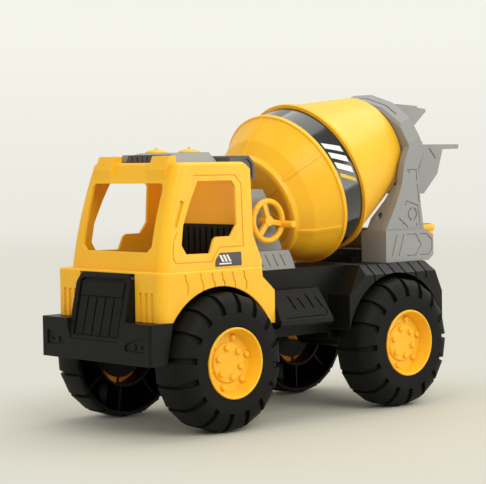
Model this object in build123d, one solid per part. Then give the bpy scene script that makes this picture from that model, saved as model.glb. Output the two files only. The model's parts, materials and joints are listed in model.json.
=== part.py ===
from build123d import *
import math
import os

# Toy cement mixer.
# Frame: +X is the front of the truck, +Y its left side, +Z up.
# The origin is on the ground, midway between the two axles. Millimetres.

# ---------------------------------------------------------------- driving dimensions
TYRE_RADIUS = 60.0
AXLE_X = 108.0                      # front axle at +AXLE_X, rear axle at -AXLE_X
WHEEL_OUTER_Y = 92.0                # outer face of the hub lip
WHEEL_INNER_Y = 54.0
ARCH_RADIUS = TYRE_RADIUS + 4.5
WALL = 2.5                          # moulded wall thickness
DECK_TOP = 133.0
RUNNING_FIT = 0.05                  # radial clearance of every turning shaft
CUT_REACH = 95.0                    # half length of a cutter that passes through both sides

AXLE_Z = TYRE_RADIUS
AXLE_END = 77.5
AXLE_RADIUS = 2.5
BUSH_RADIUS = 5.0
BUSH_LENGTH = 8.0

# wheels
HUB_LIP_RADIUS = 30.5
HUB_WALL = 2.0
HUB_FLOOR_Y = 80.5                  # outer face of the dished hub floor
HUB_FLOOR_RADIUS = 24.5
HUB_DISC_RADIUS = 17.5
HUB_DISC_HEIGHT = 2.0
HUB_INNER_BOSSES = (13.0, 43.0)     # circle radius and angle of the first of six bosses
HUB_OUTER_BOSSES = (21.6, 15.0)
HUB_BOSS_RADIUS = 2.7
HUB_INNER_Y = 74.0
TYRE_SEAT_Y = 58.0                  # inner end of the ring that grips the hub
TYRE_PLATE_Y = 66.0                 # inner face of the plate that closes the ring
TYRE_PLATE_RADIUS = 24.5
TYRE_PLATE_HOLE = 7.5
TYRE_PLATE_THICKNESS = 2.0
WEB_HALF_THICKNESS = 0.9
TYRE_SKIN = 4.2
LUG_COUNT = 16
LUG_GROOVE_WIDTH = 3.4
LUG_GROOVE_DEPTH = 2.4
TYRE_WEB_COUNT = 8

# cab
CAB_HALF_WIDTH = 73.0
CAB_FRONT_X = 173.0
CAB_REAR_X = 60.5
CAB_BOTTOM_Z = 97.0
CAB_TAIL_X = 45.0
HOOD_Z = 139.0
ROOF_Z = 230.0
WINDSHIELD_BASE = (166.0, 130.0)
WINDSHIELD_MIDDLE = (156.1, 186.0)
WINDSHIELD_TOP = (141.7, ROOF_Z)
UPPER_HALF_AT_HOOD = 64.5           # the cab's sides lean inward above the hood
UPPER_HALF_AT_ROOF = 59.8
GRILLE_HALF_WIDTH = 38.0
GRILLE_TOP_Z = 137.0

# drum
DRUM_TILT = 21.5                    # degrees the drum rises toward the rear
DRUM_FLANGE = (-39.5, 0.0, 203.2)   # centre of the front flange
DRUM_RADIUS = 72.0
DRUM_FLANGE_RADIUS = 74.0
DRUM_MOUTH_RADIUS = 49.0
DRUM_FRONT = -42.0                  # stations along the drum axis, from the front flange
DRUM_KNEE = -26.5
DRUM_REAR_FLANGE = 28.5
DRUM_MOUTH = 112.0
DRUM_WALL = 2.0
BOSS_RING_RADIUS = 46.0             # middle of the raised ring around the drum's front face
KNEE_RADIUS = 59.6
NECK_RADIUS = 41.0
RIB_COUNT = 6
RIB_WIDTH = 3.6

# gear drive: the hand wheel's axis crosses the drum's axis at this station
CRANK_STATION = -72.0
GEAR_MODULE = 1.25
GEAR_TEETH = 24
PINION_TEETH = 12
GEAR_FACE = 4.5
GEAR_BACKLASH = 0.30
SHAFT_RADIUS = 2.5
HOUSING_REAR = -58.5                # station of the housing's sloped rear wall
HOUSING_LOWER_HALF_WIDTH = 48.0
HOUSING_UPPER_HALF_WIDTH = 38.0
HOUSING_STEP_Z = 150.0
HOUSING_TOP_Z = 205.0
HOUSING_FRONT_X = 50.0
HOUSING_WALL = 3.0
HAND_WHEEL_Y = 46.5
HAND_WHEEL_RADIUS = 17.5
HAND_WHEEL_TUBE = 2.6
HANDLE_RADIUS = 3.2
HANDLE_LENGTH = 16.0
HAND_WHEEL_FIRST_SPOKE = 71.0       # degrees from +X

# rear support
ARCH_START = 112.8
ARCH_END = 130.0
PILLAR_OUTER_Y = 59.0
PILLAR_THICKNESS = 7.5
BASE_HALF_WIDTH = 62.0
BASE_TOP_Z = 163.0
BASE_FRONT_X = -109.0
BASE_REAR_X = -178.0
BASE_NOTCH_HALF = 30.0              # notch in the front of the base, between its two feet
BASE_NOTCH_BACK = -150.0

# discharge chute
CHUTE_PIVOT = (-210.0, 0.0)
CHUTE_TOP_Z = 165.0
TROUGH_TOP_Z = 158.5
CHUTE_HEAD_RADIUS = 25.0
CHUTE_LENGTH = 62.0
CHUTE_WALL = 2.0
CHUTE_RIM = 3.5                     # radius of the rolled rim around the chute's head
CHUTE_PIN_RADIUS = 2.5

# screws
SCREW_RADIUS = 1.5
SCREW_HEAD_RADIUS = 3.2
SCREW_HEAD_HEIGHT = 2.0


# ---------------------------------------------------------------- small helpers
def box(x0, x1, y0, y1, z0, z1):
    return Pos((x0 + x1) / 2, (y0 + y1) / 2, (z0 + z1) / 2) * Box(abs(x1 - x0), y1 - y0, z1 - z0)


def outline(points):
    return make_face(Polyline(*points, close=True))


def side_prism(points, y0, y1):
    """Outline in (x, z), from y0 to y1."""
    return extrude(Plane.XZ.offset(-y1) * outline(points), amount=y1 - y0)


def front_prism(points, x0, x1):
    """Outline in (y, z), from x0 to x1."""
    return extrude(Plane.YZ.offset(x0) * outline(points), amount=x1 - x0)


def plan_prism(points, z0, z1):
    """Outline in (x, y), from z0 to z1."""
    return extrude(Plane.XY.offset(z0) * outline(points), amount=z1 - z0)


def turned(points):
    """Solid of revolution about local Z from an outline in (radius, z)."""
    return revolve(Plane.XZ * outline(points), Axis.Z)


def ring(outer, inner, z0, z1):
    return turned([(inner, z0), (outer, z0), (outer, z1), (inner, z1)])


def disc(radius, z0, z1):
    return Pos(0, 0, (z0 + z1) / 2) * Cylinder(radius, z1 - z0)


def stroke(points, width):
    """Face of constant width along a polyline."""
    return trace(Polyline(*points), line_width=width)


def both_sides(shape):
    return shape + mirror(shape, Plane.XZ)


def left_frame(x, z):
    """Local Z along +Y: for wheels, axles and the hand wheel."""
    return Plane(origin=(x, 0, z), x_dir=(1, 0, 0), z_dir=(0, 1, 0)).location


def right_frame(x, z):
    """Local Z along -Y."""
    return Plane(origin=(x, 0, z), x_dir=(-1, 0, 0), z_dir=(0, -1, 0)).location


def drum_point(station, up=0.0):
    """World (x, z) of a point on the drum's middle plane."""
    tilt = math.radians(DRUM_TILT)
    x = DRUM_FLANGE[0] - station * math.cos(tilt) + up * math.sin(tilt)
    z = DRUM_FLANGE[2] + station * math.sin(tilt) + up * math.cos(tilt)
    return x, z


def drum_frame(station=0.0):
    """Local Z along the drum's axis toward the rear, local X upward, local Y to the left."""
    tilt = math.radians(DRUM_TILT)
    x, z = drum_point(station)
    return Plane(
        origin=(x, 0, z),
        x_dir=(math.sin(tilt), 0, math.cos(tilt)),
        z_dir=(-math.cos(tilt), 0, math.sin(tilt)),
    ).location


def sloped_x(station, z):
    """World x on the plane square to the drum's axis at this station, at height z."""
    tilt = math.radians(DRUM_TILT)
    x, z_axis = drum_point(station)
    return x + (z - z_axis) * math.tan(tilt)


def arch_cutter(x, radius, y0, y1):
    return left_frame(x, AXLE_Z) * disc(radius, y0, y1)


def beyond(origin, normal):
    """Block that fills the space in front of a plane, to cut a facet with."""
    return Plane(origin=origin, z_dir=normal).location * Pos(0, 0, 50) * Box(200, 200, 100)


def side_groove(points, width, outer, inner):
    """Groove along a line in (x, z), cut on both sides between two similar shapes."""
    blade = extrude(Plane.XZ.offset(-CUT_REACH) * stroke(points, width), amount=2 * CUT_REACH)
    return blade & (outer - inner)


# ---------------------------------------------------------------- screws
def screw(length):
    """Pan head screw, head down, shank along local +Z."""
    return disc(SCREW_HEAD_RADIUS, -SCREW_HEAD_HEIGHT, 0) + disc(SCREW_RADIUS, 0, length)


def screw_set(positions, z, length):
    """Separate screws driven upward, with the underside of each head at height z."""
    return [Pos(x, y, z) * screw(length) for x, y in positions]


def cut_screws(shape, screws):
    for item in screws:
        shape = shape - item
    return shape


HOUSING_SCREW_XY = [(x, y) for x in (12.0, 38.0) for y in (-36.0, 36.0)]
BASE_SCREW_XY = [(x, y) for x in (-122.0, -160.0) for y in (-36.0, 36.0)]
CAB_SCREW_XY = [(x, y) for x in (74.0, 148.0) for y in (-34.0, 34.0)]
DECK_UNDERSIDE = DECK_TOP - WALL
FLOOR_TOP = 97.0
SEAT_FLOOR_Z = 128.0
housing_screws = screw_set(HOUSING_SCREW_XY, DECK_UNDERSIDE, 10.0)
base_screws = screw_set(BASE_SCREW_XY, DECK_UNDERSIDE, 10.0)
cab_screws = screw_set(CAB_SCREW_XY, FLOOR_TOP - WALL, 14.0)


# ---------------------------------------------------------------- wheels
def tyre_outline(inset):
    """Outer contour of the tyre in (radius, y), moved inward by inset."""
    return [
        (HUB_LIP_RADIUS, WHEEL_OUTER_Y - 2.0 - inset),
        (44.0, WHEEL_OUTER_Y - 0.8 - inset),
        (51.0, WHEEL_OUTER_Y - 2.6 - inset),
        (56.6 - inset, WHEEL_OUTER_Y - 7.0 - inset * 0.7),
        (TYRE_RADIUS - 0.6 - inset, 79.0),
        (TYRE_RADIUS - inset, 71.0),
        (TYRE_RADIUS - 0.6 - inset, 62.0),
        (57.2 - inset, WHEEL_INNER_Y),
    ]


def tyre_grooves():
    """Curved grooves between the lugs, a constant depth below the surface."""
    layer_inner = tyre_outline(LUG_GROOVE_DEPTH)
    outer = TYRE_RADIUS + 3.0
    outer_y = WHEEL_OUTER_Y + 2.0
    layer = turned(layer_inner + [(outer, WHEEL_INNER_Y), (outer, outer_y), (HUB_LIP_RADIUS, outer_y)])
    hook = [(45.0, 0.0), (52.0, 1.0), (57.0, 4.5), (outer + 1, 12.0)]
    cutters = []
    for index in range(LUG_COUNT):
        blade = extrude(stroke(hook, LUG_GROOVE_WIDTH), amount=WHEEL_OUTER_Y + 4)
        cutters.append(Rot(0, 0, index * 360.0 / LUG_COUNT) * blade)
    return [layer & cutter for cutter in cutters]


def make_tyre():
    """Hollow tyre, open on its inner side, with radial webs. Local Z points outward."""
    outer = tyre_outline(0.0)
    inner = tyre_outline(TYRE_SKIN)
    inner_rim = (HUB_LIP_RADIUS, inner[0][1])
    skin = turned(outer + list(reversed(inner[1:])) + [inner_rim])
    for groove in tyre_grooves():
        skin = skin - groove
    seat = ring(HUB_LIP_RADIUS + 2.0, HUB_LIP_RADIUS, TYRE_SEAT_Y, inner[0][1] + 0.5)
    plate_end = TYRE_PLATE_Y + TYRE_PLATE_THICKNESS
    plate = ring(TYRE_PLATE_RADIUS, TYRE_PLATE_HOLE, TYRE_PLATE_Y, plate_end)
    half = WEB_HALF_THICKNESS
    web = box(HUB_LIP_RADIUS + 1.0, 54.6, -half, half, TYRE_SEAT_Y + 4.0, 80.0)
    web = web + box(TYRE_PLATE_RADIUS - 1.0, HUB_LIP_RADIUS + 1.0, -half, half, TYRE_PLATE_Y, plate_end)
    tyre = skin + seat + plate
    for index in range(TYRE_WEB_COUNT):
        tyre = tyre + Rot(0, 0, index * 360.0 / TYRE_WEB_COUNT) * web
    return tyre


def hub_boss(radius, angle, base):
    """Round-topped boss on the face of the hub."""
    boss = disc(HUB_BOSS_RADIUS, base - 0.5, base + 2.6)
    boss = fillet(boss.edges().group_by(Axis.Z)[-1], 1.4)
    swing = math.radians(angle)
    return Pos(radius * math.cos(swing), radius * math.sin(swing), 0) * boss


def make_hub():
    """Dished hub with a raised centre, two rings of bosses and a blind axle socket."""
    mouth = HUB_LIP_RADIUS - HUB_WALL
    raised = HUB_FLOOR_Y + HUB_DISC_HEIGHT
    floor_back = HUB_FLOOR_Y - HUB_WALL
    hub = turned([
        (0, raised),
        (HUB_DISC_RADIUS - 1.0, raised),
        (HUB_DISC_RADIUS, raised - 1.0),
        (HUB_DISC_RADIUS, HUB_FLOOR_Y),
        (HUB_FLOOR_RADIUS, HUB_FLOOR_Y),
        (mouth, WHEEL_OUTER_Y - 0.6),
        (mouth + 0.6, WHEEL_OUTER_Y),
        (HUB_LIP_RADIUS - 0.6, WHEEL_OUTER_Y),
        (HUB_LIP_RADIUS, WHEEL_OUTER_Y - 0.6),
        (HUB_LIP_RADIUS, HUB_INNER_Y),
        (mouth, HUB_INNER_Y),
        (mouth, floor_back),
        (0, floor_back),
    ])
    for index in range(6):
        for radius, first, base in (
            (*HUB_INNER_BOSSES, raised),
            (*HUB_OUTER_BOSSES, HUB_FLOOR_Y),
        ):
            hub = hub + hub_boss(radius, first + index * 60.0, base)
    socket = disc(6.5, 56.0, floor_back + 0.5)
    return hub + socket - disc(AXLE_RADIUS, 50.0, AXLE_END)


def make_axle(x):
    return left_frame(x, AXLE_Z) * disc(AXLE_RADIUS, -AXLE_END, AXLE_END)


def bush(outer, bore, length, flange=0.0):
    """Plain bush along local Z, with an optional flange at its far end."""
    shape = ring(outer, bore, 0, length)
    if flange:
        shape = shape + ring(flange, bore, length, length + 1.0)
    return shape


def axle_bushes():
    shapes = []
    for x in (-AXLE_X, AXLE_X):
        for frame in (left_frame(x, AXLE_Z), right_frame(x, AXLE_Z)):
            start = Pos(0, 0, 50.0 - BUSH_LENGTH)
            shapes.append(frame * start * bush(BUSH_RADIUS, AXLE_RADIUS + RUNNING_FIT, BUSH_LENGTH, 7.0))
    return shapes


# ---------------------------------------------------------------- chassis
FENDER_OUTER_Y = 76.0
FENDER_SHOULDER_Y = 66.0
FENDER_FRONT_X = -45.3
FENDER_FOLD_Z = 107.0               # top of the fender's upright front face
FENDER_CROWN = (-67.7, FENDER_SHOULDER_Y, 132.5)
FENDER_REAR_X = -171.0
FENDER_BOTTOM_Z = 67.0
STEP_OUTER_Y = 80.0
STEP_FRONT_X = 44.0
STEP_REAR_X = -20.5
STEP_TOP_Z = 116.0
NOSE_X = 160.0


def fender(inset):
    """Left rear fender, moved inward by inset, open below when inset is used as a core."""
    i = inset
    section = [
        (48.0 + i, DECK_TOP - i),
        (FENDER_SHOULDER_Y - i * 0.4, DECK_TOP - i),
        (FENDER_OUTER_Y - i, DECK_TOP - 9.0 - i * 0.4),
        (FENDER_OUTER_Y - i, FENDER_BOTTOM_Z - i * 4),
        (48.0 + i, FENDER_BOTTOM_Z - i * 4),
    ]
    shape = front_prism(section, FENDER_REAR_X + i, FENDER_FRONT_X - i)
    rear_corner = [
        (-157.0 + i * 0.6, DECK_TOP + 1),
        (-171.0 + i, 104.0),
        (-171.0 - 1, 104.0),
        (-171.0 - 1, DECK_TOP + 1),
    ]
    shape = shape - side_prism(rear_corner, 40, 90)
    # a slope over the front face, and a facet that takes off its outer corner
    shape = shape - beyond((FENDER_FRONT_X - 0.75 * i, 0, FENDER_FOLD_Z - 0.66 * i), (0.75, 0.0, 0.66))
    x, y, z = FENDER_CROWN
    return shape - beyond((x - 0.52 * i, y - 0.53 * i, z - 0.67 * i), (0.52, 0.53, 0.67))


def make_fender():
    core = fender(WALL) - arch_cutter(-AXLE_X, ARCH_RADIUS + WALL, 40, 90)
    shell = fender(0.0) - core - arch_cutter(-AXLE_X, ARCH_RADIUS, 49.5, 90)
    for index in range(6):
        x = -76.0 - index * 14.0
        slot = side_prism([(x, 136), (x - 1.8, 136), (x - 3.8, 117), (x - 2.0, 117)], 60, 90)
        skin = fender(0.0) - fender(1.0)
        shell = shell - (slot & skin)
    return shell


def step_section(inset):
    i = inset
    return [
        (48.0 + i, STEP_TOP_Z - i),
        (67.0 - i * 0.6, STEP_TOP_Z - i),
        (STEP_OUTER_Y - i, 90.0),
        (STEP_OUTER_Y - i, 86.0 - i * 8),
        (76.0 - i, 83.0 - i * 8),
        (48.0 + i, 83.0 - i * 8),
    ]


def step_body(inset):
    """Left step: a sloped panel over a lip, its rear end cut on a slant."""
    i = inset
    body = front_prism(step_section(i), STEP_REAR_X + i, STEP_FRONT_X - i)
    return body - beyond((STEP_REAR_X + i, 0, 86.0), (-4.5, 0.0, 1.0))


def make_step():
    shell = step_body(0.0) - step_body(WALL)
    skin = step_body(0.0) - step_body(1.0)
    for index in range(4):
        x = 28.0 - index * 11.0
        high = 111.0 - 2.5 * (index % 2)
        slot = side_prism([(x, high), (x - 2.2, high), (x - 7.2, 99), (x - 5.0, 99)], 60, 90)
        shell = shell - (slot & skin)
    rim = [(38, 92), (-12, 92), (-15, 95), (-13, 99)]
    shell = shell - side_groove(rim, 1.0, step_body(0.0), step_body(0.9))
    return shell - arch_cutter(AXLE_X, ARCH_RADIUS, 49.5, 90)


def wheel_liner():
    """Front wheel tub inside the cab skirt: a curved roof and an inboard wall."""
    tub = arch_cutter(AXLE_X, ARCH_RADIUS + WALL, 48 - WALL, 69) - arch_cutter(AXLE_X, ARCH_RADIUS, 48, 80)
    keep = box(AXLE_X - 60, AXLE_X + 53, 40, 69, FLOOR_TOP - WALL, 140)
    return tub & keep


def deck_rise():
    """Stepped block on the deck, in the notch of the rear base, and the pocket inside it."""
    half = BASE_NOTCH_HALF - 1.5
    back = BASE_NOTCH_BACK + 1.5
    front = -104.0
    top = DECK_TOP + 12.0
    block = box(back, front, -half, half, DECK_UNDERSIDE, top)
    step = box(back, front + 7, -half, half, DECK_UNDERSIDE, DECK_TOP + 5)
    inner = half - WALL
    pocket = box(back + WALL, front - WALL, -inner, inner, DECK_UNDERSIDE - 1, top - WALL)
    return block + step, pocket


def make_chassis():
    rails = box(-165, NOSE_X, -48, 48, 72, FLOOR_TOP)
    spine = box(-165, STEP_FRONT_X, -48, 48, 90, DECK_TOP)
    rise, pocket = deck_rise()
    body = rails + spine + rise - pocket
    body = body - box(-161, STEP_FRONT_X - WALL - 1, -45.5, 45.5, 60, DECK_UNDERSIDE)
    body = body - box(STEP_FRONT_X, NOSE_X - WALL, -45.5, 45.5, 60, FLOOR_TOP - WALL)
    sides = both_sides(make_fender() + make_step() + wheel_liner())
    body = body + sides
    for x in (-AXLE_X, AXLE_X):
        top = DECK_UNDERSIDE if x < 0 else FLOOR_TOP - WALL
        web = box(x - 9, x + 9, -48, 48, 58, top) - box(x - 6, x + 6, -42, 42, 40, top)
        barrel = left_frame(x, AXLE_Z) * disc(9.5, -50, 50)
        body = body + web + barrel
    for x in (-AXLE_X, AXLE_X):
        body = body - both_sides(arch_cutter(x, ARCH_RADIUS, 51, 70))
        body = body - arch_cutter(x, AXLE_RADIUS + 0.8, -55, 55)
        body = body - both_sides(arch_cutter(x, BUSH_RADIUS, 50 - BUSH_LENGTH, 50))
    bosses = [Pos(x, y, FLOOR_TOP) * disc(4.5, 0, 7) for x, y in CAB_SCREW_XY]
    for boss in bosses:
        body = body + boss
    body = cut_screws(body, housing_screws + base_screws + cab_screws)
    return body - make_bumper_tabs()


# ---------------------------------------------------------------- bumper and grille
BUMPER_FRONT_X = 188.0
BUMPER_HALF_WIDTH = 75.6
BUMPER_TOP_Z = 97.0
BUMPER_BOTTOM_Z = 62.0
BUMPER_REAR_X = 163.0


def bumper_block(inset):
    i = inset
    top = BUMPER_TOP_Z - i
    bottom = BUMPER_BOTTOM_Z + i
    side = [
        (BUMPER_FRONT_X - i, top),
        (BUMPER_FRONT_X - i, bottom),
        (170.0 - i * 2, bottom),
        (BUMPER_REAR_X - i * 4, top),
    ]
    half = BUMPER_HALF_WIDTH - i
    block = side_prism(side, -half, half)
    corners = block.edges().filter_by(Axis.Z).group_by(Axis.X)[-1]
    return fillet(corners, 2.2 - 0.5 * i)


def make_bumper_tabs():
    """Two tabs that carry the bumper inside the chassis nose."""
    return both_sides(box(NOSE_X - WALL, 166, 20, 30, 84, 92))


def make_bumper():
    shell = bumper_block(0.0) - bumper_block(WALL)
    # keep a rear wall in the middle, where the nose of the chassis meets the bumper
    shell = shell + box(NOSE_X, NOSE_X + WALL, -46, 46, 66, 92)
    shell = shell + box(NOSE_X, BUMPER_FRONT_X - WALL, -46, 46, 66, 66 + WALL)
    shell = shell + make_bumper_tabs()
    notch = [(-38, 98), (-38, 90), (-34, 80), (34, 80), (38, 90), (38, 98)]
    shell = shell - front_prism(notch, 156, 192)
    shell = shell + box(BUMPER_REAR_X, BUMPER_FRONT_X - WALL, -35, 35, 80 - WALL, 80)
    lamp = [(41, 77.5), (46, 81), (64, 86), (67.5, 85), (67.5, 73), (42, 73.5)]
    recess = front_prism(lamp, BUMPER_FRONT_X - 1.4, BUMPER_FRONT_X + 1)
    shell = shell - both_sides(recess)
    bump_plane = Plane.YZ.offset(BUMPER_FRONT_X - 1.6)
    for y, radius in ((53.0, 2.6), (62.0, 1.5)):
        stud = extrude(bump_plane * Pos(y, 77.5) * Circle(radius), amount=1.2)
        shell = shell + both_sides(stud)
    return shell


def grille_side(inset):
    """Side view of the grille: its face leans forward toward the bottom."""
    i = inset
    return [
        (164.0, GRILLE_TOP_Z - i),
        (174.5 - i, GRILLE_TOP_Z - i),
        (176.0 - i, GRILLE_TOP_Z - 3 - i),
        (187.6 - i, 82.0),
        (187.6 - i, 80.2),
        (164.0, 80.2),
    ]


def make_grille():
    half = GRILLE_HALF_WIDTH - 0.5
    front = [
        (-half, 90.4), (-half, 128), (-32, 137), (32, 137),
        (half, 128), (half, 90.4), (33.6, 80.2), (-33.6, 80.2),
    ]
    body = side_prism(grille_side(0.0), -half, half) & front_prism(front, 163.5, 190)
    body = body - box(160, 174, -half + WALL, half - WALL, 78, GRILLE_TOP_Z - WALL)
    lean = math.degrees(math.atan2(187.6 - 176.0, GRILLE_TOP_Z - 3 - 82.0))
    face = Plane(
        origin=(187.6, 0, 82.0),
        x_dir=(0, 1, 0),
        z_dir=(math.cos(math.radians(lean)), 0, math.sin(math.radians(lean))),
    )
    height = (GRILLE_TOP_Z - 3 - 82.0) / math.cos(math.radians(lean))
    left_edge = [(-31, 1.5), (-32, height - 4), (-28, height - 1.5)]
    right_edge = [(-y, z) for y, z in reversed(left_edge)]
    body = body - extrude(face * outline(left_edge + right_edge), amount=-2.0)
    header = outline([(-29, height - 17), (-29, height - 5), (29, height - 5), (29, height - 17)])
    body = body + (extrude(face * header, amount=-2.5) - extrude(face * header, amount=-0.5))
    field_top = height - 18.0
    for index in range(5):
        y = -24.0 + index * 12.0
        slat = outline([(y - 5.1, 2), (y + 5.1, 2), (y + 5.1, field_top), (y - 5.1, field_top)])
        body = body + (extrude(face * slat, amount=-2.5) - extrude(face * slat, amount=-0.9))
    return body


# ---------------------------------------------------------------- cab
SIDE_WINDOW = [
    (121.2, 214), (83, 214), (78.6, 208.5), (79.2, 176), (86.8, 166), (103.3, 166), (106.4, 163.4),
    (111.2, 152.3), (137.6, 152.6), (142.4, 160.2), (139.6, 177), (130.6, 197),
]
FRONT_WINDOW = [(42, 154.5), (47.5, 159.5), (48.5, 209), (45.5, 212.5)]
DOOR_GROOVE = [
    (126, 218.6), (79, 218.6), (72, 211), (72.6, 157), (100, 157), (105, 151.5), (109.5, 145),
    (149.5, 145.5), (152.5, 150), (151, 163), (146.5, 172),
]
PILLAR_SLOT = [(148.3, 176), (139.3, 197.5)]
DOOR_LABEL = [(100.2, 152.2), (75.9, 152.2), (75.9, 140.6), (106.2, 140.6), (105.4, 146)]
LABEL_THICKNESS = 0.4
HORN_INNER_Y = 25.6
HORN_OUTER_Y = 48.4
HORN_TOP_Z = 235.8


def cab_upper(inset):
    """Cab above the hood: bowed windshield, sides leaning inward, rounded front corners."""
    i = inset
    foot_x, foot_z = WINDSHIELD_BASE
    rear = Polyline(
        (WINDSHIELD_TOP[0] - i, ROOF_Z - i),
        (68.0, ROOF_Z - i),
        (CAB_REAR_X + i, 223.5),
        (CAB_REAR_X + i, 166.0),
        (52.0 + i, 144.0),
        (52.0 + i, foot_z),
        (foot_x - i, foot_z),
    )
    windshield = ThreePointArc(
        (foot_x - i, foot_z),
        (WINDSHIELD_MIDDLE[0] - i, WINDSHIELD_MIDDLE[1]),
        (WINDSHIELD_TOP[0] - i, ROOF_Z - i),
    )
    side = extrude(Plane.XZ.offset(-CUT_REACH) * make_face(rear + windshield), amount=2 * CUT_REACH)
    lean = (UPPER_HALF_AT_HOOD - UPPER_HALF_AT_ROOF) / (ROOF_Z - HOOD_Z)
    low = UPPER_HALF_AT_HOOD + lean * (HOOD_Z - foot_z) - i
    high = UPPER_HALF_AT_ROOF - i
    shape = side & front_prism([(-low, foot_z), (-high, ROOF_Z), (high, ROOF_Z), (low, foot_z)], 40, 180)
    upright = [e for e in shape.edges() if e.center().X > 140 and abs(e.center().Y) > 50 and e.length > 60]
    corners = [e for e in upright if abs(e.tangent_at(0.5).Z) > 0.8]
    shape = fillet(corners, 8.0 - i)
    top = [e for e in shape.edges() if e.center().Z > ROOF_Z - i - 1.0]
    return fillet(top, 4.2 - 0.5 * i)


def cab_lower(inset):
    """Hood and wheel skirts, wider than the cab above them."""
    i = inset
    side = [
        (CAB_TAIL_X + i, 60.0 if i else 89.0),
        (CAB_TAIL_X + i, 117.5 - i * 0.5),
        (59.0 + i, 130.0 - i * 0.5),
        (60.0 + i, HOOD_Z - i),
        (CAB_FRONT_X - i, HOOD_Z - i),
        (CAB_FRONT_X - i, 60.0 if i else 89.0),
    ]
    half = CAB_HALF_WIDTH - i
    shape = side_prism(side, -half, half)
    corners = [e for e in shape.edges() if e.center().X > 172 - i and abs(e.center().Y) > 60]
    corners = [e for e in corners if abs(e.tangent_at(0.5).Z) > 0.8]
    shape = fillet(corners, 8.0 - i)
    top = [e for e in shape.edges() if e.center().Z > HOOD_Z - i - 0.5 and e.center().X > 100]
    return fillet(top, 2.2 if i == 0 else 0.8)


def cab_windows():
    side = side_prism(SIDE_WINDOW, -CUT_REACH, CUT_REACH)
    front = FRONT_WINDOW + [(-y, z) for y, z in reversed(FRONT_WINDOW)]
    return side, front_prism(front, 125, 180)


def cab_louvres():
    """Six S-shaped grooves in the left side of the cab."""
    shapes = []
    for x in (148.0, 131.0, 118.0, 107.0, 95.0, 82.0):
        curve = [(x, 136), (x - 1.5, 134.5), (x - 1.5, 131), (x - 4, 127), (x - 4, 121.5), (x - 2.4, 119.6)]
        face = Plane.XZ.offset(-CAB_HALF_WIDTH - 1) * stroke(curve, 1.3)
        shapes.append(extrude(face, amount=1.9))
    return shapes


def horn():
    """Wedge that continues the windshield above the roof, left of the middle."""
    side = [(147.2, 214), (146.6, 224), (141.6, HORN_TOP_Z), (134.6, HORN_TOP_Z), (134.6, 229), (144, 214)]
    return side_prism(side, HORN_INNER_Y, HORN_OUTER_Y)


def make_cab():
    shell = cab_lower(0.0) + cab_upper(0.0)
    shell = shell - cab_lower(WALL) - cab_upper(WALL)
    shell = shell - box(150, 180, -80, 80, 60, CAB_BOTTOM_Z)
    side, front = cab_windows()
    shell = shell - side - front
    shell = shell - both_sides(arch_cutter(AXLE_X, ARCH_RADIUS, 60, 80))
    shell = shell - box(160, 180, -GRILLE_HALF_WIDTH, GRILLE_HALF_WIDTH, 90, GRILLE_TOP_Z)
    shell = shell + both_sides(horn())
    for groove in cab_louvres():
        shell = shell - both_sides(groove)
    shell = shell - side_groove(DOOR_GROOVE, 0.9, cab_upper(0.0), cab_upper(0.8))
    shell = shell - side_groove(PILLAR_SLOT, 4.0, cab_upper(0.0), cab_upper(2.0))
    for y in (45.5, 53.0, 60.5):
        shell = shell - both_sides(box(CAB_FRONT_X - 1.6, 175, y - 1.7, y + 1.7, 90, 121.5))
    # the frame rails pass through the bottom of the rear wall
    return shell - box(CAB_TAIL_X - 5, CAB_TAIL_X + 10, -48.5, 48.5, 80, FLOOR_TOP + 0.5)


def make_cab_seat():
    """Black moulded interior: floor, bench and ribbed back."""
    inside = CAB_HALF_WIDTH - WALL
    floor = box(64, 163, -inside, inside, SEAT_FLOOR_Z, SEAT_FLOOR_Z + WALL)
    back = box(65.5, 69.0, -52, 52, SEAT_FLOOR_Z, 175)
    bench = box(69.0, 92.0, -46, 46, SEAT_FLOOR_Z, 141)
    seat = floor + back + bench
    for index in range(13):
        y = -48.0 + index * 8.0
        seat = seat + box(69.0, 70.4, y - 2.6, y + 2.6, 141, 172)
    for x, y in CAB_SCREW_XY:
        seat = seat + Pos(x, y, FLOOR_TOP + 7) * disc(4.0, 0, SEAT_FLOOR_Z - FLOOR_TOP - 7)
    return cut_screws(seat, cab_screws)


def make_door_labels():
    """Thin film pieces that follow the cab's sides."""
    film = cab_upper(-LABEL_THICKNESS) - cab_upper(0.0)
    return [film & side_prism(DOOR_LABEL, 50, 80), film & side_prism(DOOR_LABEL, -80, -50)]


# ---------------------------------------------------------------- roof
ROOF_PANEL_TOP = 238.6
ROOF_PANEL_FRONT_X = 127.0
BEACON_X = 97.5
BEACON_Y = 22.5


def make_roof_panel():
    side = [
        (79, ROOF_Z), (84, ROOF_PANEL_TOP), (108, ROOF_PANEL_TOP), (115, 237.0),
        (ROOF_PANEL_FRONT_X, 237.0), (ROOF_PANEL_FRONT_X, ROOF_Z),
    ]
    panel = side_prism(side, -38, 38)
    ends = front_prism([(-38, ROOF_Z), (-32, 240), (32, 240), (38, ROOF_Z)], 60, 140)
    return panel & ends


def make_roof_vent():
    """Dark grooved strip along the front of the roof panel."""
    front = [(-22.5, ROOF_Z), (-19, 236.6), (19, 236.6), (22.5, ROOF_Z)]
    vent = front_prism(front, ROOF_PANEL_FRONT_X, ROOF_PANEL_FRONT_X + 5.0)
    for index in range(5):
        y = -14.0 + index * 7.0
        vent = vent - box(ROOF_PANEL_FRONT_X + 3.6, 140, y - 0.8, y + 0.8, ROOF_Z + 1, 238)
    return vent


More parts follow.
